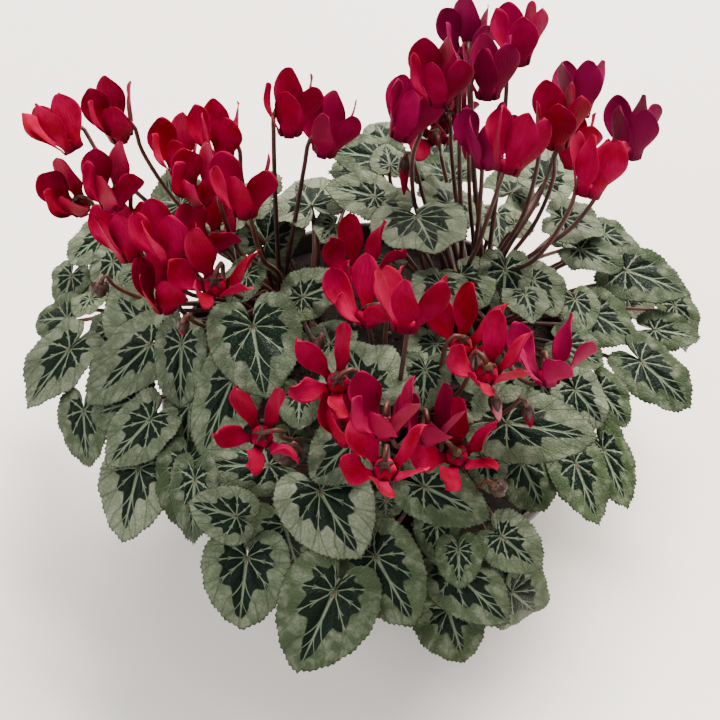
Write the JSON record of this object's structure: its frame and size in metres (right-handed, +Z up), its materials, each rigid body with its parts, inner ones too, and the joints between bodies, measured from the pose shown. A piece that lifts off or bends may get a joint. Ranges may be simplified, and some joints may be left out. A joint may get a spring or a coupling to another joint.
{
  "type": "potted cyclamen",
  "caption": "Low bowl of florist's cyclamen with silver-marked heart-shaped leaves and nodding crimson flowers with swept-back petals.",
  "frame": {"origin": "centre of the bowl's flat underside, on the surface that it stands on", "axes": "+Z up, +Y to the back as the picture sees it, +X to the right"},
  "size_m": [0.3426, 0.3368, 0.2633],
  "materials": {
    "bowl": "matt dark grey glaze",
    "potting_mix": "damp crumbly dark brown potting mix",
    "tuber_skin": "corky brown tuber skin",
    "stalk": "smooth dark red-brown flower stalks",
    "leaf": "satin leaf, dark green with silver marks",
    "petal": "satin crimson petals",
    "bud": "satin furled crimson buds"
  },
  "bodies": {
    "root": {"pot": "bowl", "potting_mix": "potting_mix", "tuber_left": "tuber_skin", "flower_stalks_left": "stalk", "leaves_left": "leaf", "tuber_right": "tuber_skin", "flower_stalks_right": "stalk", "leaves_right": "leaf", "tuber_front": "tuber_skin", "flower_stalks_front": "stalk", "leaves_front": "leaf", "bloom_01": "petal", "bloom_02": "petal", "bloom_03": "petal", "bloom_04": "petal", "bloom_05": "petal", "bloom_06": "petal", "bloom_07": "petal", "bloom_08": "petal", "bloom_09": "petal", "bloom_10": "petal", "bloom_11": "petal", "bloom_12": "petal", "bloom_13": "petal", "bloom_14": "petal", "bloom_15": "petal", "bloom_16": "petal", "bloom_17": "petal", "bloom_18": "petal", "bloom_19": "petal", "bloom_20": "petal", "bloom_21": "petal", "bloom_22": "petal", "bloom_23": "petal", "bloom_24": "petal", "bloom_25": "petal", "bloom_26": "petal", "bloom_27": "petal", "bloom_28": "petal", "bloom_29": "petal", "bloom_30": "petal", "bloom_31": "petal", "bloom_32": "petal", "bloom_33": "petal", "bloom_34": "petal", "bloom_35": "petal", "bloom_36": "petal", "bloom_37": "petal", "bloom_38": "petal", "bloom_39": "petal", "bloom_40": "petal", "bloom_41": "petal", "bloom_42": "petal", "bud_1": "bud", "bud_2": "bud", "bud_3": "bud", "bud_4": "bud", "bud_5": "bud", "bud_6": "bud"}
  },
  "joints": []
}
